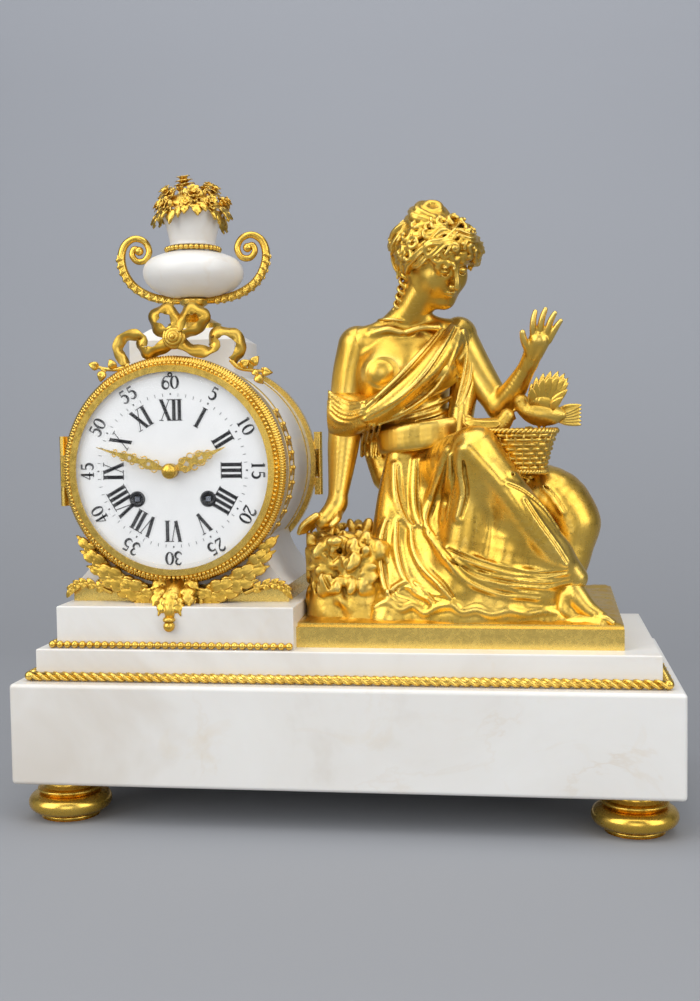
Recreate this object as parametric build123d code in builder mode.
from build123d import *
from math import atan2, cos, degrees, hypot, pi, radians, sin, sqrt
import os

# The clock stands on four feet: origin under its middle, +X right, +Y back, +Z up

# Marble base
base_length = 330.0
base_depth = 156.0
base_height = 50.9
base_arris = 2.0
foot_radius = 21.2
foot_height = 20.8
foot_inset = 22.4
tier_side_inset = 10.3
tier_front_inset = 11.5
tier_height = 15.8
tier_arris = 0.8
rope_diameter = 5.4
rope_crown_share = 0.9

# Clock plinth, gilt base plate and marble saddle
plinth_width = 122.1
plinth_height = 21.1
plinth_left_inset = 9.4
plinth_front_inset = 5.3
bead_diameter = 3.9
plate_width = 114.2
plate_depth = 81.4
saddle_setback = 0.7
plate_height = 8.75
saddle_top_width = 84.0
saddle_waist_drop = 2.0

# Drum
drum_side_distance = 78.8
drum_centre_rise = 59.05
drum_radius = 55.4
drum_wall = 4.6
drum_length = 82.0
drum_front = 40.0
ring_radius = 58.1
front_ring_thickness = 4.0
collar_radius = 52.6
collar_wall = 2.2
collar_length = 5.2
rear_ring_thickness = 5.0

# Front door, its glass and both hinges
door_gap = 0.3
door_rim_depth = 3.2
door_face_radius = 55.4
door_face_depth = 5.8
door_bore = 53.2
door_bore_depth = 6.9
sight_radius = 50.0
sight_front = 9.3
sight_lip = 1.3
glass_radius = 51.5
glass_seat_play = 0.1
glass_thickness = 1.0
glass_rise = 8.0
glass_steps = 5
hinge_offset = 59.8
hinge_pin_radius = 0.7
hinge_knuckle_radius = 1.5
hinge_half_height = 18.0
hinge_inner_half = 8.0
hinge_play = 0.05
hinge_end_gap = 0.15
leaf_thickness = 1.2
rear_door_radius = 56.0
rear_door_thickness = 1.6
rear_door_dish = 1.6
rear_door_dish_radius = 44.0
knob_radius = 2.6
knob_length = 5.0
knob_circle = 50.0

# Dial and hands
dial_radius = 52.4
dial_thickness = 1.5
dial_centre_hole = 3.6
winding_hole_radius = 4.1
winding_offset = 18.5
winding_drop = 14.3
minute_hand_length = 40.0
hour_hand_length = 30.5
hand_thickness = 0.8
minute_hand_stand = 3.6
hour_hand_stand = 2.2
hand_boss_radius = 3.9
boss_thickness = 2.0
minute_bearing = 162.0
hour_bearing = 22.5
minute_swell = 2.8
hour_swell = 4.0
hand_root = 1.9
blade_shares = [(0.12, 0.35), (0.30, 1.0), (0.42, 0.45), (0.55, 0.8), (0.72, 0.3), (1.0, 0.05)]
piercing_place_shares = (0.29, 0.55)
piercing_radius_share = 0.35

# Movement plates
movement_radius = 42.0
plate_sheet = 2.0
plate_spacing = 28.0
pillar_radius = 2.2
pillar_circle = 37.5
pivot_play = 0.05
arbor_radius = 0.5
stud_radius = 0.9
end_shake = 0.15
rod_radius = 1.4
rod_circle = 48.6
dial_foot_radius = 1.2
dial_foot_circle = 38.0

# Trains
great_teeth = 64
great_module = 0.55
second_pinion_teeth = 8
second_teeth = 64
second_module = 0.42
centre_pinion_teeth = 8
centre_teeth = 80
centre_module = 0.30
third_pinion_teeth = 6
third_teeth = 72
third_module = 0.26
escape_pinion_teeth = 6
escape_teeth = 40
escape_radius = 8.2
escape_tooth_depth = 1.3
escape_rise = 21.5
pallet_rise = 34.5
pin_wheel_teeth = 60
pin_wheel_module = 0.34
fly_pinion_teeth = 6
pin_wheel_bearing = 94.0
fly_half_width = 3.8
fly_length = 9.0
cannon_teeth = 12
motion_teeth = 36
motion_module = 0.50
motion_pinion_teeth = 10
hour_teeth = 40
addendum_share = 0.9
dedendum_share = 1.3
wheel_sheet = 1.2
great_sheet = 2.0
pinion_length = 2.8
barrel_radius = 15.5
barrel_length = 12.3
winding_arbor_radius = 1.9
winding_square = 2.6
winding_square_length = 6.0
cannon_radius = 2.1
cannon_bore = 1.3
hour_pipe_radius = 3.1
hour_pipe_bore = 2.4

# Where each wheel stands in front of the back plate
great_stand = 10.0
second_stand = 6.0
centre_stand = 26.2
third_stand = 17.4
escape_stand = 1.6
pin_stand = 6.0
fly_stand = 13.0
motion_stand = 0.5
hour_wheel_stand = 3.2

# Behind the back plate
gravity = 9810.0
bob_radius = 4.8
bob_thickness = 5.0
pendulum_setback = 14.0
pendulum_rod_radius = 0.9
crutch_drop = 18.0
crutch_setback = 2.0
crutch_prong_radius = 0.5
crutch_play = 0.1
cock_width = 9.0
cock_rise = 2.4
cock_height = 4.0
cock_gap = 0.3
pallet_thickness = 1.2
pallet_half_span = 6.4
pallet_drop = 6.2
bell_radius = 30.0
bell_height = 17.0
bell_wall = 1.6
bell_profile_shares = [(0.97, 0.6), (0.85, 0.25), (0.6, 0.0)]
bell_offset = 14.0
bell_drop = 10.0
bell_setback = 29.0
bell_post_radius = 2.4
bell_screw_radius = 1.5
hammer_offset = 16.0
hammer_rise = 20.0
hammer_head_radius = 3.4
hammer_head_length = 8.0
hammer_gap = 1.0

# Pedestal and urn
pedestal_width = 56.0
pedestal_cap_width = 38.0
pedestal_cap_height = 6.6
pedestal_rise = 73.8
urn_foot_radius = 14.4
urn_foot_height = 15.9
urn_body_radius = 27.0
clamp_height = 1.6
urn_body_height = 24.4
urn_ring_radius = 15.6
urn_ring_height = 3.0
urn_lip_radius = 17.4
urn_neck_height = 18.8
bouquet_radius = 24.4
bouquet_height = 19.1
handle_reach = 41.0
handle_rise = 35.0
clamp_radius = 8.0
handle_bar = 2.8
handle_depth = 3.4

# Gilt mounts on the drum
mount_thickness = 3.2
mount_gap = 0.3
bow_band = 3.6
bow_rise = 67.5
rosette_radius = 5.8
rosette_thickness = 6.0
ribbon_width = 3.4
knot_width = 17.0
drop_radius = 3.5

# Figure and its plinth
figure_plinth_height = 10.3
figure_plinth_right_inset = 16.7
figure_plinth_front_inset = 12.5
ground_rise = 7.2
ground_setback = 4.0
figure_height = 213.6
figure_place_share = 0.5006
figure_span_share = 1.325
figure_reach_share = 1.978
basket_radius_share = 0.089
basket_base_radius_share = 0.061
basket_height_share = 0.1056
basket_wall = 2.2
basket_depth = 5.0
limb_sides = 14
basket_staves = 24
bouquet_lobes = 9

cut_overrun = 1.0

# Levels
slab_top = foot_height + base_height
tier_top = slab_top + tier_height
plinth_top = tier_top + plinth_height
plate_top = plinth_top + plate_height
drum_x = drum_side_distance - base_length / 2
drum_z = plate_top + drum_centre_rise
pedestal_top = drum_z + pedestal_rise
figure_floor = tier_top + figure_plinth_height

# Depths ahead of the drum's middle
drum_rear = drum_front - drum_length
ring_face = drum_front + front_ring_thickness
dial_back = ring_face + collar_length
dial_face = dial_back + dial_thickness
door_back = ring_face + door_gap
glass_front = door_back + sight_front - sight_lip
front_plate_back = drum_front
front_plate_face = front_plate_back + plate_sheet
back_plate_face = front_plate_back - plate_spacing
back_plate_back = back_plate_face - plate_sheet
rear_ring_back = drum_rear - rear_ring_thickness
rear_door_front = rear_ring_back - door_gap


# Planes across and along the drum's axis
def across(depth):
    return Plane(origin=(drum_x, -depth, drum_z), x_dir=(1, 0, 0), z_dir=(0, -1, 0))


drum_section = Plane(origin=(drum_x, 0, drum_z), x_dir=(1, 0, 0), z_dir=(0, 0, -1))
drum_axis = Axis((drum_x, 0, drum_z), (0, 1, 0))


def upright_section(x, y):
    return Plane(origin=(x, y, 0), x_dir=(1, 0, 0), z_dir=(0, -1, 0))


# A body turned about an axis from a closed outline of radius and place
def turned(plane, axis, outline):
    with BuildPart() as body:
        with BuildSketch(plane):
            with BuildLine():
                Polyline(*outline, close=True)
            make_face()
        revolve(axis=axis)
    return body.part


# A round bar along the drum's axis, from one depth to another
def bar(right, up, radius, back, front):
    with BuildPart() as rod:
        with BuildSketch(across(back)):
            with Locations((right, up)):
                Circle(radius)
        extrude(amount=front - back)
    return rod.part


# Where an arbor stands that meshes with two others
def mesh_point(first, first_reach, second, second_reach, side):
    gap = hypot(second[0] - first[0], second[1] - first[1])
    along = (gap**2 + first_reach**2 - second_reach**2) / (2 * gap)
    aside = side * sqrt(first_reach**2 - along**2)
    unit = ((second[0] - first[0]) / gap, (second[1] - first[1]) / gap)
    right = first[0] + along * unit[0] - aside * unit[1]
    up = first[1] + along * unit[1] + aside * unit[0]
    return (right, up)


def reach(wheel_teeth, pinion_teeth, module):
    return module * (wheel_teeth + pinion_teeth) / 2


def bearing(start, end):
    return degrees(atan2(end[1] - start[1], end[0] - start[0]))


# A wheel or pinion with pointed teeth, one of them at the given bearing
def toothed(place, teeth, module, back, thickness, tooth_bearing, bore=0):
    tip = module * (teeth / 2 + addendum_share)
    root = module * (teeth / 2 - dedendum_share)
    corners = []
    for step in range(2 * teeth):
        radius = root if step % 2 else tip
        angle = radians(tooth_bearing) + pi * step / teeth
        corners.append((place[0] + radius * cos(angle), place[1] + radius * sin(angle)))
    with BuildPart() as wheel:
        with BuildSketch(across(back)):
            with BuildLine():
                Polyline(*corners, close=True)
            make_face()
            if bore:
                with Locations(place):
                    Circle(bore, mode=Mode.SUBTRACT)
        extrude(amount=thickness)
    return wheel.part


# A cast limb as rounded many-sided sections joined in turn
def limb(stations, sides=limb_sides, across_dir=(1, 0, 0)):
    points = [Vector(*station[:3]) for station in stations]
    turns = [2 * pi * side / sides for side in range(sides)]
    with BuildPart() as form:
        for index, station in enumerate(stations):
            ahead = points[min(index + 1, len(points) - 1)]
            behind = points[max(index - 1, 0)]
            with BuildSketch(Plane(origin=points[index], x_dir=across_dir, z_dir=ahead - behind)):
                with BuildLine():
                    Polyline(*[(station[3] * cos(t), station[4] * sin(t)) for t in turns], close=True)
                make_face()
        loft(ruled=True)
    return form.part


def figure_stations(shares, wide=None, deep=None):
    wide = wide or figure_span
    deep = deep or figure_reach
    stations = []
    for right, back, up, half_width, half_depth in shares:
        stations.append(
            (
                figure_x + right * figure_span,
                back * figure_reach,
                figure_floor + up * figure_height,
                half_width * wide,
                half_depth * deep,
            )
        )
    return stations


# Marble base slab with softened arrises
with BuildPart() as base_slab:
    with Locations((0, 0, foot_height)):
        Box(base_length, base_depth, base_height, align=(Align.CENTER, Align.CENTER, Align.MIN))
    fillet(base_slab.edges(), radius=base_arris)

# Four turned feet
foot_outline_shares = [
    (0.0, 1.0),
    (0.47, 1.0),
    (0.47, 0.92),
    (0.40, 0.80),
    (0.60, 0.72),
    (0.80, 0.66),
    (0.95, 0.56),
    (1.0, 0.42),
    (0.95, 0.28),
    (0.80, 0.17),
    (0.80, 0.0),
    (0.0, 0.0),
]
foot_x = base_length / 2 - foot_inset
foot_y = base_depth / 2 - foot_inset
foot_outline = [(r * foot_radius, h * foot_height) for r, h in foot_outline_shares]
turned_foot = turned(Plane.XZ, Axis.Z, foot_outline)
with BuildPart() as feet:
    with GridLocations(2 * foot_x, 2 * foot_y, 2, 2):
        add(turned_foot)

# Second marble tier
tier_length = base_length - 2 * tier_side_inset
tier_depth = base_depth - 2 * tier_front_inset
with BuildPart() as tier_slab:
    with Locations((0, 0, slab_top)):
        Box(tier_length, tier_depth, tier_height, align=(Align.CENTER, Align.CENTER, Align.MIN))
    fillet(tier_slab.faces().sort_by(Axis.Z)[-1].edges(), radius=tier_arris)

# Rope moulding round the tier's foot
rope_radius = rope_diameter / 2
with BuildPart() as rope_moulding:
    with BuildSketch(Plane.XY.offset(slab_top)):
        Rectangle(tier_length + 2 * rope_diameter, tier_depth + 2 * rope_diameter)
        Rectangle(tier_length, tier_depth, mode=Mode.SUBTRACT)
    extrude(amount=rope_diameter)
    crowns = rope_moulding.edges().filter_by(Axis.Z, reverse=True).group_by(Axis.Z)[-1]
    fillet(crowns, radius=rope_radius * rope_crown_share)

# Clock plinth
plinth_left = -tier_length / 2 + plinth_left_inset
plinth_right = plinth_left + plinth_width
plinth_x = (plinth_left + plinth_right) / 2
plinth_depth = tier_depth - 2 * plinth_front_inset
with BuildPart() as clock_plinth:
    with Locations((plinth_x, 0, tier_top)):
        Box(plinth_width, plinth_depth, plinth_height, align=(Align.CENTER, Align.CENTER, Align.MIN))
    fillet(clock_plinth.faces().sort_by(Axis.Z)[-1].edges(), radius=tier_arris)

# Bead string round the plinth's front and its outer side
bead_radius = bead_diameter / 2
with BuildPart() as bead_moulding:
    with BuildSketch(Plane.XY.offset(tier_top)):
        with Locations((plinth_x - bead_radius, -bead_radius)):
            Rectangle(plinth_width + bead_diameter, plinth_depth + bead_diameter)
        with Locations((plinth_x, 0)):
            Rectangle(plinth_width, plinth_depth, mode=Mode.SUBTRACT)
    extrude(amount=bead_diameter)
    fillet(bead_moulding.faces().sort_by(Axis.Z)[-1].edges(), radius=bead_radius * 0.9)

# Gilt plate under the drum
with BuildPart() as drum_base_plate:
    with Locations((drum_x, 0, plinth_top)):
        Box(plate_width, plate_depth, plate_height, align=(Align.CENTER, Align.CENTER, Align.MIN))

# Marble saddle, hollowed on both sides and cut to the drum
saddle_top = drum_z - sqrt(drum_radius**2 - (saddle_top_width / 2) ** 2)
saddle_mid = (plate_top + saddle_top) / 2 - saddle_waist_drop
saddle_mid_half = (plate_width + saddle_top_width) / 4 - saddle_waist_drop
saddle_half_depth = plate_depth / 2 - saddle_setback
with BuildPart() as drum_saddle:
    with BuildSketch(Plane(origin=(drum_x, saddle_half_depth, 0), x_dir=(1, 0, 0), z_dir=(0, -1, 0))):
        with BuildLine():
            Line((-plate_width / 2, plate_top), (plate_width / 2, plate_top))
            ThreePointArc(
                (plate_width / 2, plate_top),
                (saddle_mid_half, saddle_mid),
                (saddle_top_width / 2, saddle_top),
            )
            Line((saddle_top_width / 2, saddle_top), (-saddle_top_width / 2, saddle_top))
            ThreePointArc(
                (-saddle_top_width / 2, saddle_top),
                (-saddle_mid_half, saddle_mid),
                (-plate_width / 2, plate_top),
            )
        make_face()
    extrude(amount=2 * saddle_half_depth)
    with BuildSketch(across(drum_rear - cut_overrun)):
        Circle(drum_radius)
    extrude(amount=drum_length + 2 * cut_overrun, mode=Mode.SUBTRACT)

# Marble drum
drum_bore = drum_radius - drum_wall
with BuildPart() as drum_case:
    with BuildSketch(across(drum_rear)):
        Circle(drum_radius)
        Circle(drum_bore, mode=Mode.SUBTRACT)
    extrude(amount=drum_length)


# A hinge's knuckles and the leaf that carries them, on the left or right of a ring
def knuckles(side, level, leaf_back, spans, ring):
    middle = side * hinge_offset
    leaf_inner = side * (ring - leaf_thickness)
    with BuildPart() as leaves:
        for low, high in spans:
            with BuildSketch(Plane(origin=(drum_x, -level, drum_z + low), x_dir=(1, 0, 0), z_dir=(0, 0, 1))):
                with Locations((middle, 0)):
                    Circle(hinge_knuckle_radius)
                with Locations(((middle + leaf_inner) / 2, level - leaf_back)):
                    Rectangle(abs(middle - leaf_inner), leaf_thickness)
                with Locations((middle, 0)):
                    Circle(hinge_pin_radius + hinge_play, mode=Mode.SUBTRACT)
            extrude(amount=high - low)
    return leaves.part


inner_span = [(-hinge_inner_half, hinge_inner_half)]
outer_spans = [
    (-hinge_half_height, -hinge_inner_half - hinge_end_gap),
    (hinge_inner_half + hinge_end_gap, hinge_half_height),
]

# Front ring with the dial's collar and the fixed knuckles
front_hinge_level = door_back
collar_bore = collar_radius - collar_wall
front_ring_outline = [
    (collar_bore, drum_front),
    (ring_radius, drum_front),
    (ring_radius, ring_face),
    (collar_radius, ring_face),
    (collar_radius, dial_back),
    (collar_bore, dial_back),
]
front_leaf = front_hinge_level - hinge_pin_radius - leaf_thickness
with BuildPart() as front_ring:
    add(turned(drum_section, drum_axis, front_ring_outline))
    add(knuckles(-1, front_hinge_level, front_leaf, outer_spans, ring_radius))

# Front door ring
door_rim = door_back + door_rim_depth
door_face = door_back + door_face_depth
sight_face = door_back + sight_front
glass_seat = glass_radius + glass_seat_play
door_step = door_back + door_bore_depth
bezel_outline = [
    (door_bore, door_back),
    (ring_radius, door_back),
    (ring_radius, door_rim),
    (door_face_radius, door_face),
    (door_bore, sight_face),
    (sight_radius, sight_face),
    (sight_radius, glass_front),
    (glass_seat, glass_front),
    (glass_seat, door_step),
    (door_bore, door_step),
]
door_leaf = front_hinge_level + hinge_pin_radius + leaf_thickness
with BuildPart() as front_bezel:
    add(turned(drum_section, drum_axis, bezel_outline))
    add(knuckles(-1, front_hinge_level, door_leaf, inner_span, ring_radius))

# Domed glass seated behind the sight edge
glass_back = glass_front - glass_thickness
dome_turn = pi / 2 / glass_steps
dome = [
    (sight_radius * cos(dome_turn * step), glass_rise * sin(dome_turn * step))
    for step in range(glass_steps + 1)
]
glass_outline = [(glass_radius, glass_back), (glass_radius, glass_front)]
glass_outline += [(radius, glass_front + rise) for radius, rise in dome]
glass_outline += [(radius, glass_back + rise) for radius, rise in reversed(dome)]
with BuildPart() as bezel_glass:
    add(turned(drum_section, drum_axis, glass_outline))


def hinge_pin(side, level):
    with BuildPart() as pin:
        with BuildSketch(Plane.XY.offset(drum_z - hinge_half_height)):
            with Locations((drum_x + side * hinge_offset, -level)):
                Circle(hinge_pin_radius)
        extrude(amount=2 * hinge_half_height)
    return pin.part


with BuildPart() as front_hinge_pin:
    add(hinge_pin(-1, front_hinge_level))

# Rear ring, its door and hinge
rear_hinge_level = rear_ring_back - door_gap / 2
rear_leaf = rear_hinge_level + hinge_pin_radius + leaf_thickness
with BuildPart() as rear_ring:
    with BuildSketch(across(rear_ring_back)):
        Circle(ring_radius)
        Circle(collar_bore, mode=Mode.SUBTRACT)
    extrude(amount=rear_ring_thickness)
    add(knuckles(1, rear_hinge_level, rear_leaf, outer_spans, ring_radius))

rear_door_back = rear_door_front - rear_door_thickness
rear_outline = [
    (0, rear_door_back - rear_door_dish),
    (rear_door_dish_radius, rear_door_back - rear_door_dish),
    (rear_door_dish_radius + rear_door_thickness, rear_door_back),
    (rear_door_radius, rear_door_back),
    (rear_door_radius, rear_door_front),
    (rear_door_dish_radius, rear_door_front),
    (rear_door_dish_radius - rear_door_thickness, rear_door_front - rear_door_dish),
    (0, rear_door_front - rear_door_dish),
]
rear_door_leaf = rear_hinge_level - hinge_pin_radius - leaf_thickness
with BuildPart() as rear_door:
    add(turned(drum_section, drum_axis, rear_outline))
    add(knuckles(1, rear_hinge_level, rear_door_leaf, inner_span, rear_door_radius))
    add(bar(-knob_circle, 0, knob_radius, rear_door_back - knob_length, rear_door_back))

with BuildPart() as rear_hinge_pin:
    add(hinge_pin(1, rear_hinge_level))

# Two long rods that draw the rings together on the drum
with BuildPart() as fixing_rods:
    add(bar(-rod_circle, 0, rod_radius, drum_rear, drum_front))
    add(bar(rod_circle, 0, rod_radius, drum_rear, drum_front))

# Enamel dial with winding holes and feet
with BuildPart() as dial:
    with BuildSketch(across(dial_back)):
        Circle(dial_radius)
        Circle(dial_centre_hole, mode=Mode.SUBTRACT)
        with Locations((-winding_offset, -winding_drop), (winding_offset, -winding_drop)):
            Circle(winding_hole_radius, mode=Mode.SUBTRACT)
    extrude(amount=dial_thickness)
    with BuildSketch(across(front_plate_face)):
        with PolarLocations(dial_foot_circle, 3, start_angle=90):
            Circle(dial_foot_radius)
    extrude(amount=dial_back - front_plate_face)

# Arbor places, measured right of and above the dial's centre
centre_place = (0.0, 0.0)
going_place = (winding_offset, -winding_drop)
strike_place = (-winding_offset, -winding_drop)
great_reach = reach(great_teeth, second_pinion_teeth, great_module)
second_place = mesh_point(
    centre_place,
    reach(second_teeth, centre_pinion_teeth, second_module),
    going_place,
    great_reach,
    1,
)
escape_place = (0.0, escape_rise)
third_place = mesh_point(
    centre_place,
    reach(centre_teeth, third_pinion_teeth, centre_module),
    escape_place,
    reach(third_teeth, escape_pinion_teeth, third_module),
    1,
)
pin_place = (
    strike_place[0] + great_reach * cos(radians(pin_wheel_bearing)),
    strike_place[1] + great_reach * sin(radians(pin_wheel_bearing)),
)
fly_place = (pin_place[0], pin_place[1] + reach(pin_wheel_teeth, fly_pinion_teeth, pin_wheel_module))
pallet_place = (0.0, pallet_rise)
motion_place = (0.0, reach(motion_teeth, cannon_teeth, motion_module))
hour_module = 2 * motion_place[1] / (motion_pinion_teeth + hour_teeth)

arbor_places = [second_place, third_place, escape_place, pin_place, fly_place, pallet_place]
pillar_bearings = [20.0, 65.0, 115.0, 160.0, 270.0]
pillar_places = [
    (pillar_circle * cos(radians(angle)), pillar_circle * sin(radians(angle)))
    for angle in pillar_bearings
]
hammer_place = (hammer_offset, hammer_rise)
bell_place = (-bell_offset, -bell_drop)


# Front and back plates with their pivot holes
def movement_plate(back, holes):
    with BuildPart() as sheet:
        with BuildSketch(across(back)):
            Circle(movement_radius)
            for place, radius in holes:
                with Locations(place):
                    Circle(radius, mode=Mode.SUBTRACT)
        extrude(amount=plate_sheet)
    return sheet.part


pivot_holes = [(place, arbor_radius + pivot_play) for place in arbor_places]
centre_hole = [(centre_place, cannon_bore)]
winding_holes = [
    (going_place, winding_arbor_radius + pivot_play),
    (strike_place, winding_arbor_radius + pivot_play),
]
stud_length = hour_wheel_stand + wheel_sheet + pinion_length / 2
with BuildPart() as front_plate:
    add(movement_plate(front_plate_back, pivot_holes + centre_hole + winding_holes))
    add(bar(*motion_place, stud_radius, front_plate_face, front_plate_face + stud_length))

hammer_hole = [(hammer_place, stud_radius + pivot_play)]
bell_seat = -bell_setback - bell_wall
with BuildPart() as back_plate:
    add(movement_plate(back_plate_back, pivot_holes + centre_hole + winding_holes + hammer_hole))
    add(bar(*bell_place, bell_post_radius, bell_seat + bell_wall, back_plate_back))
    add(bar(*bell_place, bell_screw_radius, bell_seat - bell_wall, bell_seat + bell_wall))

with BuildPart() as plate_pillars:
    for place in pillar_places:
        add(bar(*place, pillar_radius, back_plate_face, front_plate_back))


# A plain arbor that runs in both plates
def arbor(place, back=back_plate_back, front=front_plate_face):
    return bar(*place, arbor_radius, back, front)


# Going train
def great_wheel(place, other):
    level = back_plate_face + great_stand
    with BuildPart() as barrel:
        add(toothed(place, great_teeth, great_module, level, great_sheet, bearing(place, other)))
        with BuildSketch(across(level + great_sheet)):
            with Locations(place):
                Circle(barrel_radius)
        extrude(amount=barrel_length)
        with BuildSketch(across(level - cut_overrun)):
            with Locations(place):
                Circle(winding_arbor_radius + pivot_play)
        extrude(amount=great_sheet + barrel_length + 2 * cut_overrun, mode=Mode.SUBTRACT)
    return barrel.part


# Winding arbor, round through the barrel and squared for the key
def winding_arbor(place):
    with BuildPart() as stem:
        add(bar(*place, winding_arbor_radius, back_plate_back, dial_face - winding_square_length))
        with BuildSketch(across(dial_face - winding_square_length)):
            with Locations(place):
                Rectangle(winding_square, winding_square)
        extrude(amount=winding_square_length)
    return stem.part


with BuildPart() as going_barrel:
    add(great_wheel(going_place, second_place))
with BuildPart() as going_winding_arbor:
    add(winding_arbor(going_place))

great_level = back_plate_face + great_stand
second_level = back_plate_face + second_stand
centre_level = back_plate_face + centre_stand
third_level = back_plate_face + third_stand
escape_level = back_plate_face + escape_stand
pin_level = back_plate_face + pin_stand
fly_level = back_plate_face + fly_stand
pinion_lead = (pinion_length - wheel_sheet) / 2
great_lead = (pinion_length - great_sheet) / 2


# The bearing at which a pinion shows a gap towards its wheel
def gap_bearing(pinion_place, wheel_place, teeth):
    return bearing(pinion_place, wheel_place) + 180 / teeth


with BuildPart() as second_wheel:
    add(arbor(second_place))
    add(
        toothed(
            second_place,
            second_pinion_teeth,
            great_module,
            great_level - great_lead,
            pinion_length,
            gap_bearing(second_place, going_place, second_pinion_teeth),
        )
    )
    add(
        toothed(
            second_place,
            second_teeth,
            second_module,
            second_level,
            wheel_sheet,
            bearing(second_place, centre_place),
        )
    )

centre_arbor_radius = cannon_bore - pivot_play
minute_hand_back = dial_face + minute_hand_stand
hour_hand_back = dial_face + hour_hand_stand
with BuildPart() as centre_wheel:
    add(bar(*centre_place, centre_arbor_radius, back_plate_back, minute_hand_back))
    add(
        toothed(
            centre_place,
            centre_pinion_teeth,
            second_module,
            second_level - pinion_lead,
            pinion_length,
            gap_bearing(centre_place, second_place, centre_pinion_teeth),
        )
    )
    add(
        toothed(
            centre_place,
            centre_teeth,
            centre_module,
            centre_level,
            wheel_sheet,
            bearing(centre_place, third_place),
        )
    )

with BuildPart() as third_wheel:
    add(arbor(third_place))
    add(
        toothed(
            third_place,
            third_pinion_teeth,
            centre_module,
            centre_level + wheel_sheet - pinion_length + end_shake,
            pinion_length,
            gap_bearing(third_place, centre_place, third_pinion_teeth),
        )
    )
    add(
        toothed(
            third_place,
            third_teeth,
            third_module,
            third_level,
            wheel_sheet,
            bearing(third_place, escape_place),
        )
    )

# Escape wheel with raked teeth
with BuildPart() as escape_wheel:
    add(arbor(escape_place))
    add(
        toothed(
            escape_place,
            escape_pinion_teeth,
            third_module,
            third_level - pinion_lead,
            pinion_length,
            gap_bearing(escape_place, third_place, escape_pinion_teeth),
        )
    )
    escape_corners = []
    for tooth in range(escape_teeth):
        tip_angle = 2 * pi * tooth / escape_teeth
        root_angle = tip_angle + pi / (2 * escape_teeth)
        root_radius = escape_radius - escape_tooth_depth
        for radius, angle in ((escape_radius, tip_angle), (root_radius, root_angle)):
            escape_corners.append(
                (radius * cos(angle), escape_rise + radius * sin(angle))
            )
    with BuildSketch(across(escape_level)):
        with BuildLine():
            Polyline(*escape_corners, close=True)
        make_face()
    extrude(amount=wheel_sheet)

# Anchor, its arbor and the crutch behind the back plate
crutch_back = back_plate_back - crutch_setback - wheel_sheet
prong_offset = pendulum_rod_radius + crutch_play + crutch_prong_radius
prong_rise = pallet_rise - crutch_drop
with BuildPart() as anchor:
    add(bar(*pallet_place, arbor_radius, crutch_back, front_plate_face))
    with BuildSketch(across(escape_level)):
        with BuildLine():
            Polyline(
                (-stud_radius, pallet_rise),
                (0, pallet_rise + stud_radius),
                (stud_radius, pallet_rise),
                (pallet_half_span + pallet_thickness, pallet_rise - pallet_drop / 2),
                (pallet_half_span + pallet_thickness / 2, pallet_rise - pallet_drop),
                (pallet_half_span, pallet_rise - pallet_drop / 2),
                (0, pallet_rise - stud_radius),
                (-pallet_half_span, pallet_rise - pallet_drop / 2),
                (-pallet_half_span - pallet_thickness / 2, pallet_rise - pallet_drop),
                (-pallet_half_span - pallet_thickness, pallet_rise - pallet_drop / 2),
                close=True,
            )
        make_face()
    extrude(amount=wheel_sheet)
    with BuildSketch(across(crutch_back)):
        with Locations((0, pallet_rise - crutch_drop / 2)):
            Rectangle(2 * stud_radius, crutch_drop)
        with Locations((0, prong_rise)):
            Rectangle(2 * prong_offset + 2 * crutch_prong_radius, 2 * crutch_prong_radius)
    extrude(amount=wheel_sheet)
    for side in (-1, 1):
        add(
            bar(
                side * prong_offset,
                prong_rise,
                crutch_prong_radius,
                -pendulum_setback + back_plate_back - pendulum_rod_radius,
                crutch_back,
            )
        )

# Suspension cock on the back plate
pendulum_level = back_plate_back - pendulum_setback
cock_bottom = pallet_rise + cock_rise
with BuildPart() as suspension_cock:
    with BuildSketch(across(pendulum_level - pendulum_rod_radius - stud_radius)):
        with Locations((0, cock_bottom + cock_height / 2)):
            Rectangle(cock_width, cock_height)
    extrude(amount=back_plate_back - pendulum_level + pendulum_rod_radius + stud_radius)

# Pendulum whose length follows from the train
beats_per_hour = 2 * escape_teeth * (centre_teeth / third_pinion_teeth) * (third_teeth / escape_pinion_teeth)
beat = 3600 / beats_per_hour
pendulum_length = gravity * (beat / pi) ** 2
bob_rise = pallet_rise - pendulum_length
with BuildPart() as pendulum:
    with BuildSketch(Plane.XY.offset(drum_z + bob_rise)):
        with Locations((drum_x, -pendulum_level)):
            Circle(pendulum_rod_radius)
    extrude(amount=cock_bottom - cock_gap - bob_rise)
    with BuildSketch(across(pendulum_level - bob_thickness / 2)):
        with Locations((0, bob_rise)):
            Circle(bob_radius)
    extrude(amount=bob_thickness)
    chamfer(pendulum.edges().filter_by(GeomType.CIRCLE).group_by(SortBy.RADIUS)[-1], length=bob_thickness / 4)

# Strike train
with BuildPart() as strike_barrel:
    add(great_wheel(strike_place, pin_place))
with BuildPart() as strike_winding_arbor:
    add(winding_arbor(strike_place))

with BuildPart() as pin_wheel:
    add(arbor(pin_place))
    add(
        toothed(
            pin_place,
            second_pinion_teeth,
            great_module,
            great_level - great_lead,
            pinion_length,
            gap_bearing(pin_place, strike_place, second_pinion_teeth),
        )
    )
    add(
        toothed(
            pin_place,
            pin_wheel_teeth,
            pin_wheel_module,
            pin_level,
            wheel_sheet,
            bearing(pin_place, fly_place),
        )
    )

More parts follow.
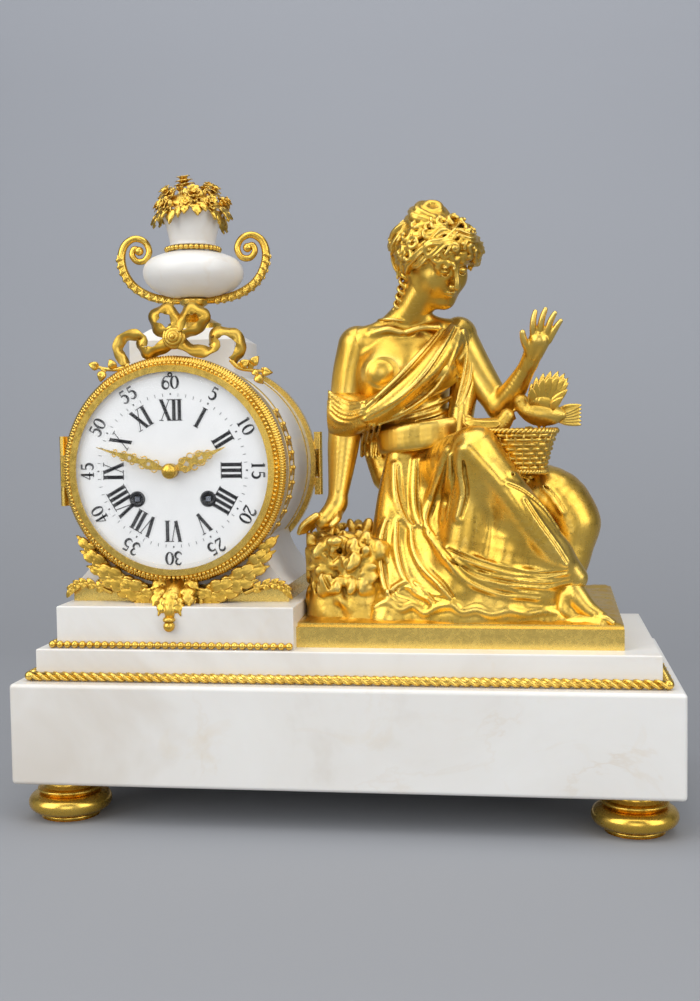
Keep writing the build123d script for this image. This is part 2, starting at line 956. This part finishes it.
with BuildPart() as fly:
    add(arbor(fly_place))
    add(
        toothed(
            fly_place,
            fly_pinion_teeth,
            pin_wheel_module,
            pin_level - pinion_lead,
            pinion_length,
            gap_bearing(fly_place, pin_place, fly_pinion_teeth),
        )
    )
    with BuildSketch(across(fly_level)):
        with Locations(fly_place):
            Rectangle(2 * fly_half_width, stud_radius)
    extrude(amount=fly_length)

# Bell on its post and the hammer beside its rim
bell_centre = (drum_x + bell_place[0], 0, drum_z + bell_place[1])
bell_section = Plane(origin=bell_centre, x_dir=(1, 0, 0), z_dir=(0, 0, -1))
bell_mouth = bell_seat + bell_height
bell_bore = bell_screw_radius + pivot_play
bell_outside = [(bell_radius, bell_mouth)]
bell_outside += [(bell_radius * wide, bell_seat + bell_height * deep) for wide, deep in bell_profile_shares]
bell_inside = [(radius - bell_wall, depth + bell_wall) for radius, depth in reversed(bell_outside[1:])]
bell_outline = bell_outside + [(bell_bore, bell_seat), (bell_bore, bell_seat + bell_wall)] + bell_inside
bell_outline += [(bell_radius - bell_wall, bell_mouth)]
with BuildPart() as bell:
    add(turned(bell_section, Axis(bell_centre, (0, 1, 0)), bell_outline))

hammer_head_offset = bell_place[0] + bell_radius + hammer_gap + hammer_head_radius
hammer_head_place = (hammer_head_offset, bell_place[1])
hammer_level = bell_mouth - hammer_head_length - end_shake
arm_length = hypot(hammer_place[0] - hammer_head_place[0], hammer_place[1] - hammer_head_place[1])
arm_middle = (
    (hammer_place[0] + hammer_head_place[0]) / 2,
    (hammer_place[1] + hammer_head_place[1]) / 2,
)
with BuildPart() as hammer:
    add(bar(*hammer_place, stud_radius, hammer_level, back_plate_face))
    add(bar(*hammer_head_place, hammer_head_radius, hammer_level, hammer_level + hammer_head_length))
    with BuildSketch(across(hammer_level)):
        with Locations(Location(arm_middle, bearing(hammer_place, hammer_head_place))):
            Rectangle(arm_length, 2 * stud_radius)
    extrude(amount=2 * stud_radius)

# Motion work: cannon pinion on the minute hand, motion wheel, hour wheel on the hour hand
motion_level = front_plate_face + motion_stand
hour_level = front_plate_face + hour_wheel_stand


# A blade that swells and narrows to its tip, pierced twice
def hand_blade(length, swell, back, angle):
    half = [(length * along, swell * wide) for along, wide in blade_shares]
    outline = [(0, hand_root)] + half + [(along, -wide) for along, wide in reversed(half)] + [(0, -hand_root)]
    plane = across(back)
    pointing = plane.x_dir.rotate(Axis((0, 0, 0), plane.z_dir), angle)
    with BuildPart() as blade:
        with BuildSketch(Plane(origin=plane.origin, x_dir=pointing, z_dir=plane.z_dir)):
            with BuildLine():
                Polyline(*outline, close=True)
            make_face()
            with Locations(*[(length * share, 0) for share in piercing_place_shares]):
                Circle(swell * piercing_radius_share, mode=Mode.SUBTRACT)
        extrude(amount=hand_thickness)
    return blade.part


cannon_length = pinion_length - wheel_sheet
cannon_bearing = bearing(centre_place, motion_place)
with BuildPart() as minute_hand:
    add(bar(*centre_place, cannon_radius, motion_level, minute_hand_back))
    add(toothed(centre_place, cannon_teeth, motion_module, motion_level, cannon_length, cannon_bearing))
    add(bar(*centre_place, hand_boss_radius, minute_hand_back, minute_hand_back + boss_thickness))
    add(hand_blade(minute_hand_length, minute_swell, minute_hand_back, minute_bearing))
    add(bar(*centre_place, cannon_bore, motion_level, minute_hand_back), mode=Mode.SUBTRACT)

with BuildPart() as motion_wheel:
    add(
        toothed(
            motion_place,
            motion_teeth,
            motion_module,
            motion_level,
            wheel_sheet,
            gap_bearing(motion_place, centre_place, motion_teeth),
        )
    )
    add(
        toothed(
            motion_place,
            motion_pinion_teeth,
            hour_module,
            motion_level,
            hour_wheel_stand - motion_stand + wheel_sheet,
            gap_bearing(motion_place, centre_place, motion_pinion_teeth),
        )
    )
    add(bar(*motion_place, stud_radius + pivot_play, front_plate_face, dial_back), mode=Mode.SUBTRACT)

with BuildPart() as hour_hand:
    add(bar(*centre_place, hour_pipe_radius, hour_level, hour_hand_back))
    add(toothed(centre_place, hour_teeth, hour_module, hour_level, wheel_sheet, cannon_bearing))
    add(bar(*centre_place, hand_boss_radius, hour_hand_back, hour_hand_back + hand_thickness))
    add(hand_blade(hour_hand_length, hour_swell, hour_hand_back, hour_bearing))
    add(bar(*centre_place, hour_pipe_bore, front_plate_face, minute_hand_back), mode=Mode.SUBTRACT)


# Marble pedestal on top of the drum, stepped in at its cap
pedestal_shoulder = pedestal_top - pedestal_cap_height
with BuildPart() as urn_pedestal:
    with BuildSketch(Plane.XY.offset(drum_z)):
        with Locations((drum_x, 0)):
            Rectangle(pedestal_width, pedestal_width)
    extrude(amount=pedestal_shoulder - drum_z)
    with BuildSketch(Plane.XY.offset(pedestal_shoulder)):
        with Locations((drum_x, 0)):
            Rectangle(pedestal_width, pedestal_width)
    with BuildSketch(Plane.XY.offset(pedestal_top)):
        with Locations((drum_x, 0)):
            Rectangle(pedestal_cap_width, pedestal_cap_width)
    loft(ruled=True)
    with BuildSketch(across(drum_rear)):
        Circle(drum_radius)
    extrude(amount=drum_length, mode=Mode.SUBTRACT)

# Urn: turned foot, squashed body, bead ring and flared neck
urn_section = upright_section(drum_x, 0)
urn_axis = Axis((drum_x, 0, 0), (0, 0, 1))
urn_foot_top = pedestal_top + urn_foot_height
urn_body_bottom = urn_foot_top + clamp_height
urn_body_top = urn_body_bottom + urn_body_height
urn_ring_top = urn_body_top + urn_ring_height
urn_lip_top = urn_ring_top + urn_neck_height
urn_foot_shares = [
    (0.0, 0.0),
    (1.0, 0.0),
    (1.0, 0.22),
    (0.74, 0.34),
    (0.34, 0.58),
    (0.29, 0.76),
    (0.50, 0.88),
    (0.58, 1.0),
    (0.0, 1.0),
]
urn_body_shares = [
    (0.0, 0.0),
    (0.36, 0.0),
    (0.74, 0.12),
    (0.95, 0.33),
    (1.0, 0.52),
    (0.94, 0.72),
    (0.76, 0.89),
    (0.50, 1.0),
    (0.0, 1.0),
]
urn_neck_shares = [
    (0.0, 0.0),
    (0.72, 0.0),
    (0.70, 0.12),
    (0.78, 0.55),
    (0.94, 0.86),
    (1.0, 0.93),
    (1.0, 1.0),
    (0.0, 1.0),
]
bouquet_shares = [(0.96, -0.25), (1.0, 0.05), (0.86, 0.45), (0.62, 0.80), (0.25, 1.0)]
lobe_depth_share = 0.14


# A turned length of the urn, from shares of its radius and height
def urn_turning(shares, radius, bottom, height):
    outline = [(wide * radius, bottom + high * height) for wide, high in shares]
    return turned(urn_section, urn_axis, outline)


with BuildPart() as urn_foot:
    add(urn_turning(urn_foot_shares, urn_foot_radius, pedestal_top, urn_foot_height))

with BuildPart() as urn_body:
    add(urn_turning(urn_body_shares, urn_body_radius, urn_body_bottom, urn_body_height))

with BuildPart() as urn_bead_ring:
    with BuildSketch(Plane.XY.offset(urn_body_top)):
        with Locations((drum_x, 0)):
            Circle(urn_ring_radius)
    extrude(amount=urn_ring_height)
    chamfer(urn_bead_ring.edges().filter_by(GeomType.CIRCLE), length=urn_ring_height / 4)

with BuildPart() as urn_neck:
    add(urn_turning(urn_neck_shares, urn_lip_radius, urn_ring_top, urn_neck_height))

# Bouquet that fills the lip and hangs over it in lobes
def lobed(radius):
    corners = []
    for step in range(2 * bouquet_lobes):
        reached = radius * (1 - lobe_depth_share * (step % 2))
        turn = pi * step / bouquet_lobes
        corners.append((drum_x + reached * cos(turn), reached * sin(turn)))
    return corners


with BuildPart() as urn_bouquet:
    for wide, high in bouquet_shares:
        with BuildSketch(Plane.XY.offset(urn_lip_top + high * bouquet_height)):
            with BuildLine():
                Polyline(*lobed(bouquet_radius * wide), close=True)
            make_face()
    loft(ruled=True)
    add(urn_neck.part, mode=Mode.SUBTRACT)

# Two scrolled handles, cut from bar, that spring from the clamp under the body
clamp_outline = [
    (0, urn_foot_top),
    (clamp_radius, urn_foot_top),
    (clamp_radius, urn_body_bottom),
    (0, urn_body_bottom),
]
handle_shares = [
    (0.0, -0.02),
    (0.14, 0.00),
    (0.34, 0.03),
    (0.56, 0.12),
    (0.76, 0.27),
    (0.91, 0.46),
    (0.99, 0.66),
    (0.99, 0.84),
    (0.90, 0.97),
    (0.77, 1.0),
    (0.66, 0.90),
    (0.64, 0.76),
    (0.72, 0.67),
    (0.80, 0.72),
]
with BuildPart() as urn_handles:
    for side in (-1, 1):
        points = [
            (side * wide * handle_reach, urn_foot_top + high * handle_rise)
            for wide, high in handle_shares
        ]
        with BuildSketch(Plane(origin=(drum_x, handle_depth / 2, 0), x_dir=(1, 0, 0), z_dir=(0, -1, 0))):
            with BuildLine():
                Polyline(*points)
            trace(line_width=handle_bar)
        extrude(amount=handle_depth)
    add(turned(urn_section, urn_axis, clamp_outline))
    add(urn_body.part, mode=Mode.SUBTRACT)
    add(urn_foot.part, mode=Mode.SUBTRACT)

# Ribbon bow above the bezel, seated on the drum's top
mount_front = drum_front + front_ring_thickness - mount_gap
bow_inner = ring_radius + mount_gap
bow_half_angle = 38.0
loop_centre_shares = (1.7, 1.3)
loop_size_shares = (1.6, 1.0)
loop_turn = 35.0
wave_centre_shares = (3.6, -0.9)
wave_size_shares = (2.4, 0.9)
wave_turn = -20.0
with BuildPart() as bow_mount:
    with BuildSketch(across(mount_front - mount_thickness)):
        with BuildLine():
            inner_arc = CenterArc((0, 0), bow_inner, 90 - bow_half_angle, 2 * bow_half_angle)
            outer_arc = CenterArc((0, 0), bow_inner + bow_band, 90 - bow_half_angle, 2 * bow_half_angle)
            Line(inner_arc @ 0, outer_arc @ 0)
            Line(inner_arc @ 1, outer_arc @ 1)
        make_face()
        for side in (-1, 1):
            loop_right = side * loop_centre_shares[0] * rosette_radius
            loop_up = bow_rise + loop_centre_shares[1] * rosette_radius
            loop_long = loop_size_shares[0] * rosette_radius
            loop_short = loop_size_shares[1] * rosette_radius
            with Locations(Location((loop_right, loop_up), side * loop_turn)):
                Ellipse(loop_long, loop_short)
                Ellipse(loop_long - ribbon_width, loop_short - ribbon_width, mode=Mode.SUBTRACT)
            wave_right = side * wave_centre_shares[0] * rosette_radius
            wave_up = bow_rise + wave_centre_shares[1] * rosette_radius
            with Locations(Location((wave_right, wave_up), side * wave_turn)):
                Ellipse(wave_size_shares[0] * rosette_radius, wave_size_shares[1] * rosette_radius)
        with Locations((0, bow_rise)):
            Circle(rosette_radius)
        Circle(bow_inner, mode=Mode.SUBTRACT)
    extrude(amount=mount_thickness)
    with BuildSketch(across(mount_front)):
        with Locations((0, bow_rise)):
            Circle(rosette_radius)
    extrude(amount=rosette_thickness)
    add(urn_pedestal.part, mode=Mode.SUBTRACT)
    add(drum_case.part, mode=Mode.SUBTRACT)

# Acanthus mount under the bezel with its knot and drop
acanthus_inner = ring_radius + mount_gap
plinth_face_depth = plinth_depth / 2
leaf_half_angle = 62.0
half_leaf_shares = [(0.15, -1.12), (0.90, -1.02), (0.95, -0.72)]
leaf_shares = [(-wide, high) for wide, high in reversed(half_leaf_shares)] + half_leaf_shares
knot_bottom = plinth_top - plinth_height / 4 - drum_z
knot_top = -drum_centre_rise - knot_width / 2
drop_front = plinth_face_depth + drop_radius
with BuildPart() as acanthus_mount:
    with BuildSketch(across(saddle_half_depth)):
        with BuildLine():
            low_arc = CenterArc((0, 0), acanthus_inner, 270 - leaf_half_angle, 2 * leaf_half_angle)
            leaf_tips = [(wide * plate_width / 2, high * drum_centre_rise) for wide, high in leaf_shares]
            Polyline(low_arc @ 0, *leaf_tips, low_arc @ 1)
        make_face()
    extrude(amount=mount_front - saddle_half_depth)
    with BuildSketch(across(mount_front)):
        with Locations((0, knot_top)):
            Rectangle(knot_width, knot_width / 2)
    with BuildSketch(across(plinth_face_depth)):
        with Locations((0, knot_top)):
            Rectangle(knot_width, knot_width / 3)
    loft(ruled=True)
    with BuildSketch(across(plinth_face_depth)):
        with Locations((0, knot_top)):
            Rectangle(knot_width, knot_width / 3)
        with Locations((0, (knot_bottom + knot_top) / 2)):
            Rectangle(drop_radius, knot_top - knot_bottom)
    extrude(amount=drop_radius)
    with Locations((drum_x, -drop_front, drum_z + knot_bottom - drop_radius / 2)):
        Sphere(drop_radius)
    add(clock_plinth.part, mode=Mode.SUBTRACT)
    add(drum_base_plate.part, mode=Mode.SUBTRACT)
    add(drum_saddle.part, mode=Mode.SUBTRACT)

# Figure's gilt plinth with ground that rises to the back
figure_plinth_right = tier_length / 2 - figure_plinth_right_inset
figure_plinth_depth = tier_depth - 2 * figure_plinth_front_inset
figure_plinth_length = figure_plinth_right - plinth_right
figure_x = plinth_right + figure_place_share * figure_plinth_length
figure_span = figure_span_share * figure_plinth_length
figure_reach = figure_reach_share * figure_plinth_depth
with BuildPart() as figure_plinth:
    with BuildSketch(Plane(origin=(plinth_right, 0, 0), x_dir=(0, 1, 0), z_dir=(1, 0, 0))):
        with BuildLine():
            Polyline(
                (-figure_plinth_depth / 2, tier_top),
                (figure_plinth_depth / 2, tier_top),
                (figure_plinth_depth / 2, figure_floor + ground_rise),
                (-figure_plinth_depth / 2 + ground_setback, figure_floor + ground_rise / 5),
                (-figure_plinth_depth / 2 + ground_setback, figure_floor),
                (-figure_plinth_depth / 2, figure_floor),
                close=True,
            )
        make_face()
    extrude(amount=figure_plinth_length)

# Figure, as shares of its height from the floor under its middle: right, back, up, half width, half depth
body_shares = [
    (-0.082, 0.040, 0.250, 0.112, 0.095),
    (-0.082, -0.005, 0.432, 0.092, 0.070),
    (-0.110, -0.019, 0.535, 0.104, 0.078),
    (-0.129, -0.023, 0.619, 0.122, 0.078),
    (-0.138, -0.009, 0.694, 0.104, 0.050),
    (-0.129, -0.014, 0.735, 0.042, 0.037),
    (-0.101, -0.030, 0.780, 0.034, 0.035),
    (-0.068, -0.046, 0.835, 0.036, 0.038),
]
head_shares = [
    (-0.052, -0.072, 0.768, 0.026, 0.030),
    (-0.044, -0.066, 0.800, 0.056, 0.066),
    (-0.046, -0.056, 0.845, 0.096, 0.096),
    (-0.050, -0.046, 0.890, 0.116, 0.104),
    (-0.058, -0.036, 0.935, 0.104, 0.092),
    (-0.068, -0.028, 0.972, 0.072, 0.064),
    (-0.072, -0.026, 1.000, 0.030, 0.030),
]
right_upper_arm_shares = [
    (-0.236, -0.004, 0.690, 0.044, 0.048),
    (-0.266, -0.007, 0.600, 0.042, 0.044),
    (-0.283, -0.010, 0.500, 0.035, 0.036),
]
right_forearm_shares = [
    (-0.283, -0.010, 0.510, 0.035, 0.036),
    (-0.290, -0.040, 0.400, 0.034, 0.034),
    (-0.305, -0.084, 0.275, 0.021, 0.024),
    (-0.330, -0.105, 0.225, 0.034, 0.026),
]
left_upper_arm_shares = [
    (-0.012, 0.008, 0.680, 0.042, 0.044),
    (0.040, -0.012, 0.598, 0.038, 0.040),
    (0.104, -0.047, 0.505, 0.029, 0.030),
]
left_forearm_shares = [
    (0.100, -0.045, 0.500, 0.028, 0.029),
    (0.134, -0.084, 0.543, 0.027, 0.027),
    (0.163, -0.117, 0.583, 0.016, 0.017),
    (0.178, -0.127, 0.622, 0.026, 0.016),
    (0.196, -0.138, 0.662, 0.028, 0.012),
    (0.202, -0.140, 0.716, 0.014, 0.008),
]
near_thigh_shares = [
    (-0.054, -0.009, 0.319, 0.084, 0.084),
    (-0.007, -0.103, 0.371, 0.073, 0.073),
    (0.036, -0.170, 0.404, 0.056, 0.056),
]
near_shin_shares = [
    (0.022, -0.166, 0.420, 0.046, 0.046),
    (0.046, -0.180, 0.398, 0.060, 0.058),
    (0.101, -0.197, 0.329, 0.050, 0.050),
    (0.162, -0.197, 0.249, 0.044, 0.044),
    (0.222, -0.187, 0.169, 0.037, 0.037),
    (0.269, -0.178, 0.109, 0.031, 0.031),
]
far_thigh_shares = [
    (-0.016, 0.019, 0.263, 0.108, 0.108),
    (0.124, -0.005, 0.282, 0.098, 0.098),
    (0.222, -0.033, 0.272, 0.086, 0.086),
    (0.268, -0.045, 0.232, 0.066, 0.066),
    (0.300, -0.052, 0.205, 0.034, 0.034),
]
skirt_shares = [
    (-0.035, -0.040, -0.010, 0.176, 0.176),
    (-0.035, -0.037, 0.066, 0.166, 0.166),
    (-0.044, -0.014, 0.179, 0.147, 0.147),
    (-0.058, 0.005, 0.282, 0.124, 0.124),
    (-0.063, 0.009, 0.366, 0.098, 0.098),
]
far_shin_shares = [
    (0.262, -0.047, 0.226, 0.064, 0.064),
    (0.250, -0.061, 0.150, 0.060, 0.060),
    (0.222, -0.075, 0.040, 0.056, 0.056),
    (0.215, -0.078, -0.010, 0.056, 0.056),
]
far_cloth_shares = [
    (0.115, 0.000, -0.010, 0.138, 0.136),
    (0.096, 0.009, 0.160, 0.124, 0.122),
    (0.084, 0.010, 0.250, 0.090, 0.090),
]
knee_cloth_shares = [
    (-0.005, -0.160, -0.010, 0.070, 0.070),
    (0.002, -0.164, 0.085, 0.066, 0.066),
    (0.021, -0.168, 0.226, 0.057, 0.057),
    (0.040, -0.168, 0.357, 0.052, 0.052),
]
shin_cloth_shares = [
    (0.090, -0.165, -0.010, 0.062, 0.062),
    (0.096, -0.168, 0.048, 0.062, 0.062),
    (0.115, -0.173, 0.151, 0.057, 0.057),
    (0.133, -0.178, 0.263, 0.044, 0.044),
]
drape_shares = [
    (-0.110, -0.050, 0.330, 0.060, 0.060),
    (-0.135, -0.085, 0.430, 0.052, 0.036),
    (-0.118, -0.098, 0.520, 0.050, 0.030),
    (-0.075, -0.098, 0.600, 0.054, 0.026),
    (-0.025, -0.074, 0.675, 0.045, 0.026),
    (-0.012, -0.035, 0.722, 0.040, 0.028),
]
foot_shares = [
    (0.240, -0.178, 0.118, 0.030, 0.030),
    (0.290, -0.196, 0.055, 0.028, 0.036),
    (0.330, -0.210, 0.022, 0.022, 0.030),
    (0.358, -0.212, 0.010, 0.012, 0.024),
]
rock_shares = [
    (-0.286, -0.085, -0.020, 0.104, 0.095),
    (-0.288, -0.088, 0.090, 0.107, 0.094),
    (-0.284, -0.090, 0.180, 0.098, 0.084),
    (-0.284, -0.090, 0.228, 0.078, 0.064),
]
dove_shares = [
    (0.150, -0.103, 0.500, 0.005, 0.005),
    (0.168, -0.103, 0.520, 0.017, 0.019),
    (0.185, -0.103, 0.486, 0.028, 0.038),
    (0.215, -0.103, 0.484, 0.030, 0.040),
    (0.250, -0.103, 0.488, 0.018, 0.020),
    (0.290, -0.103, 0.486, 0.020, 0.006),
]
nesting_bird_shares = [
    (0.012, -0.112, 0.482, 0.006, 0.008),
    (0.055, -0.112, 0.472, 0.020, 0.020),
    (0.100, -0.112, 0.470, 0.026, 0.032),
    (0.128, -0.112, 0.500, 0.016, 0.016),
    (0.130, -0.116, 0.530, 0.015, 0.015),
    (0.138, -0.120, 0.540, 0.005, 0.005),
]
basket_centre_shares = (0.143, -0.103, 0.345)

with BuildPart() as rock:
    add(limb(figure_stations(rock_shares)))
    add(figure_plinth.part, mode=Mode.SUBTRACT)
    add(clock_plinth.part, mode=Mode.SUBTRACT)
    add(drum_base_plate.part, mode=Mode.SUBTRACT)
    add(drum_saddle.part, mode=Mode.SUBTRACT)

with BuildPart() as figure_body:
    add(limb(figure_stations(body_shares)))

with BuildPart() as figure_head:
    add(limb(figure_stations(head_shares)))
    add(figure_body.part, mode=Mode.SUBTRACT)

with BuildPart() as figure_drapery:
    add(limb(figure_stations(skirt_shares)))
    add(limb(figure_stations(near_thigh_shares)))
    add(limb(figure_stations(near_shin_shares)))
    add(limb(figure_stations(far_thigh_shares)))
    add(limb(figure_stations(far_shin_shares)))
    add(limb(figure_stations(far_cloth_shares)))
    add(limb(figure_stations(knee_cloth_shares)))
    add(limb(figure_stations(shin_cloth_shares)))
    add(limb(figure_stations(drape_shares)))
    split(bisect_by=Plane.XY.offset(figure_floor), keep=Keep.TOP)
    add(figure_plinth.part, mode=Mode.SUBTRACT)
    add(figure_body.part, mode=Mode.SUBTRACT)
    add(rock.part, mode=Mode.SUBTRACT)

with BuildPart() as figure_right_arm:
    add(limb(figure_stations(right_upper_arm_shares)))
    add(limb(figure_stations(right_forearm_shares)))
    add(figure_body.part, mode=Mode.SUBTRACT)
    add(rock.part, mode=Mode.SUBTRACT)
    add(figure_drapery.part, mode=Mode.SUBTRACT)

with BuildPart() as figure_left_arm:
    add(limb(figure_stations(left_upper_arm_shares)))
    add(limb(figure_stations(left_forearm_shares)))
    add(figure_body.part, mode=Mode.SUBTRACT)
    add(figure_drapery.part, mode=Mode.SUBTRACT)

with BuildPart() as figure_foot:
    add(limb(figure_stations(foot_shares)))
    add(figure_drapery.part, mode=Mode.SUBTRACT)
    add(figure_plinth.part, mode=Mode.SUBTRACT)

# Nest basket on the lap with its two birds
basket_x = figure_x + basket_centre_shares[0] * figure_span
basket_y = basket_centre_shares[1] * figure_reach
basket_radius = basket_radius_share * figure_span
basket_base_radius = basket_base_radius_share * figure_span
basket_height = basket_height_share * figure_height
basket_floor = figure_floor + basket_centre_shares[2] * figure_height
basket_top = basket_floor + basket_height
basket_rings = [(basket_floor, basket_base_radius), (basket_top, basket_radius)]
hollow_rings = [
    (basket_top - basket_depth, basket_radius - 2 * basket_wall),
    (basket_top, basket_radius - basket_wall),
]


# A tapered form with flat staves between its lower and upper ring
def staved(rings):
    with BuildPart() as form:
        for level, radius in rings:
            with BuildSketch(Plane.XY.offset(level)):
                with Locations((basket_x, basket_y)):
                    RegularPolygon(radius, basket_staves)
        loft(ruled=True)
    return form.part


with BuildPart() as nest_basket:
    add(staved(basket_rings))
    add(staved(hollow_rings), mode=Mode.SUBTRACT)
    add(figure_drapery.part, mode=Mode.SUBTRACT)
    add(figure_left_arm.part, mode=Mode.SUBTRACT)

wing_shares = [(0.165, 0.505), (0.150, 0.560), (0.205, 0.575), (0.270, 0.570), (0.275, 0.540), (0.225, 0.510)]
with BuildPart() as dove:
    add(limb(figure_stations(dove_shares, figure_reach, figure_height), across_dir=(0, 1, 0)))
    wing_y = basket_y + basket_wall / 2
    with BuildSketch(Plane(origin=(figure_x, wing_y, figure_floor), x_dir=(1, 0, 0), z_dir=(0, -1, 0))):
        with BuildLine():
            Polyline(*[(right * figure_span, up * figure_height) for right, up in wing_shares], close=True)
        make_face()
    extrude(amount=basket_wall)
    add(nest_basket.part, mode=Mode.SUBTRACT)
    add(figure_left_arm.part, mode=Mode.SUBTRACT)

with BuildPart() as nesting_bird:
    add(limb(figure_stations(nesting_bird_shares, figure_reach, figure_height), across_dir=(0, 1, 0)))
    add(figure_left_arm.part, mode=Mode.SUBTRACT)
    add(nest_basket.part, mode=Mode.SUBTRACT)
    add(figure_body.part, mode=Mode.SUBTRACT)
    add(figure_drapery.part, mode=Mode.SUBTRACT)


# Write every piece
os.makedirs("parts", exist_ok=True)
base_slab.part.label = "base_slab"
export_step(base_slab.part, "parts/base_slab.step")
feet.part.label = "feet"
export_step(feet.part, "parts/feet.step")
tier_slab.part.label = "tier_slab"
export_step(tier_slab.part, "parts/tier_slab.step")
rope_moulding.part.label = "rope_moulding"
export_step(rope_moulding.part, "parts/rope_moulding.step")
clock_plinth.part.label = "clock_plinth"
export_step(clock_plinth.part, "parts/clock_plinth.step")
bead_moulding.part.label = "bead_moulding"
export_step(bead_moulding.part, "parts/bead_moulding.step")
drum_base_plate.part.label = "drum_base_plate"
export_step(drum_base_plate.part, "parts/drum_base_plate.step")
drum_saddle.part.label = "drum_saddle"
export_step(drum_saddle.part, "parts/drum_saddle.step")
drum_case.part.label = "drum_case"
export_step(drum_case.part, "parts/drum_case.step")
front_ring.part.label = "front_ring"
export_step(front_ring.part, "parts/front_ring.step")
front_bezel.part.label = "front_bezel"
export_step(front_bezel.part, "parts/front_bezel.step")
bezel_glass.part.label = "bezel_glass"
export_step(bezel_glass.part, "parts/bezel_glass.step")
front_hinge_pin.part.label = "front_hinge_pin"
export_step(front_hinge_pin.part, "parts/front_hinge_pin.step")
rear_ring.part.label = "rear_ring"
export_step(rear_ring.part, "parts/rear_ring.step")
rear_door.part.label = "rear_door"
export_step(rear_door.part, "parts/rear_door.step")
rear_hinge_pin.part.label = "rear_hinge_pin"
export_step(rear_hinge_pin.part, "parts/rear_hinge_pin.step")
fixing_rods.part.label = "fixing_rods"
export_step(fixing_rods.part, "parts/fixing_rods.step")
dial.part.label = "dial"
export_step(dial.part, "parts/dial.step")
front_plate.part.label = "front_plate"
export_step(front_plate.part, "parts/front_plate.step")
back_plate.part.label = "back_plate"
export_step(back_plate.part, "parts/back_plate.step")
plate_pillars.part.label = "plate_pillars"
export_step(plate_pillars.part, "parts/plate_pillars.step")
going_barrel.part.label = "going_barrel"
export_step(going_barrel.part, "parts/going_barrel.step")
going_winding_arbor.part.label = "going_winding_arbor"
export_step(going_winding_arbor.part, "parts/going_winding_arbor.step")
second_wheel.part.label = "second_wheel"
export_step(second_wheel.part, "parts/second_wheel.step")
centre_wheel.part.label = "centre_wheel"
export_step(centre_wheel.part, "parts/centre_wheel.step")
third_wheel.part.label = "third_wheel"
export_step(third_wheel.part, "parts/third_wheel.step")
escape_wheel.part.label = "escape_wheel"
export_step(escape_wheel.part, "parts/escape_wheel.step")
anchor.part.label = "anchor"
export_step(anchor.part, "parts/anchor.step")
suspension_cock.part.label = "suspension_cock"
export_step(suspension_cock.part, "parts/suspension_cock.step")
pendulum.part.label = "pendulum"
export_step(pendulum.part, "parts/pendulum.step")
strike_barrel.part.label = "strike_barrel"
export_step(strike_barrel.part, "parts/strike_barrel.step")
strike_winding_arbor.part.label = "strike_winding_arbor"
export_step(strike_winding_arbor.part, "parts/strike_winding_arbor.step")
pin_wheel.part.label = "pin_wheel"
export_step(pin_wheel.part, "parts/pin_wheel.step")
fly.part.label = "fly"
export_step(fly.part, "parts/fly.step")
bell.part.label = "bell"
export_step(bell.part, "parts/bell.step")
hammer.part.label = "hammer"
export_step(hammer.part, "parts/hammer.step")
minute_hand.part.label = "minute_hand"
export_step(minute_hand.part, "parts/minute_hand.step")
motion_wheel.part.label = "motion_wheel"
export_step(motion_wheel.part, "parts/motion_wheel.step")
hour_hand.part.label = "hour_hand"
export_step(hour_hand.part, "parts/hour_hand.step")
urn_pedestal.part.label = "urn_pedestal"
export_step(urn_pedestal.part, "parts/urn_pedestal.step")
urn_foot.part.label = "urn_foot"
export_step(urn_foot.part, "parts/urn_foot.step")
urn_body.part.label = "urn_body"
export_step(urn_body.part, "parts/urn_body.step")
urn_bead_ring.part.label = "urn_bead_ring"
export_step(urn_bead_ring.part, "parts/urn_bead_ring.step")
urn_neck.part.label = "urn_neck"
export_step(urn_neck.part, "parts/urn_neck.step")
urn_bouquet.part.label = "urn_bouquet"
export_step(urn_bouquet.part, "parts/urn_bouquet.step")
urn_handles.part.label = "urn_handles"
export_step(urn_handles.part, "parts/urn_handles.step")
bow_mount.part.label = "bow_mount"
export_step(bow_mount.part, "parts/bow_mount.step")
acanthus_mount.part.label = "acanthus_mount"
export_step(acanthus_mount.part, "parts/acanthus_mount.step")
figure_plinth.part.label = "figure_plinth"
export_step(figure_plinth.part, "parts/figure_plinth.step")
rock.part.label = "rock"
export_step(rock.part, "parts/rock.step")
figure_body.part.label = "figure_body"
export_step(figure_body.part, "parts/figure_body.step")
figure_head.part.label = "figure_head"
export_step(figure_head.part, "parts/figure_head.step")
figure_drapery.part.label = "figure_drapery"
export_step(figure_drapery.part, "parts/figure_drapery.step")
figure_right_arm.part.label = "figure_right_arm"
export_step(figure_right_arm.part, "parts/figure_right_arm.step")
figure_left_arm.part.label = "figure_left_arm"
export_step(figure_left_arm.part, "parts/figure_left_arm.step")
figure_foot.part.label = "figure_foot"
export_step(figure_foot.part, "parts/figure_foot.step")
nest_basket.part.label = "nest_basket"
export_step(nest_basket.part, "parts/nest_basket.step")
dove.part.label = "dove"
export_step(dove.part, "parts/dove.step")
nesting_bird.part.label = "nesting_bird"
export_step(nesting_bird.part, "parts/nesting_bird.step")
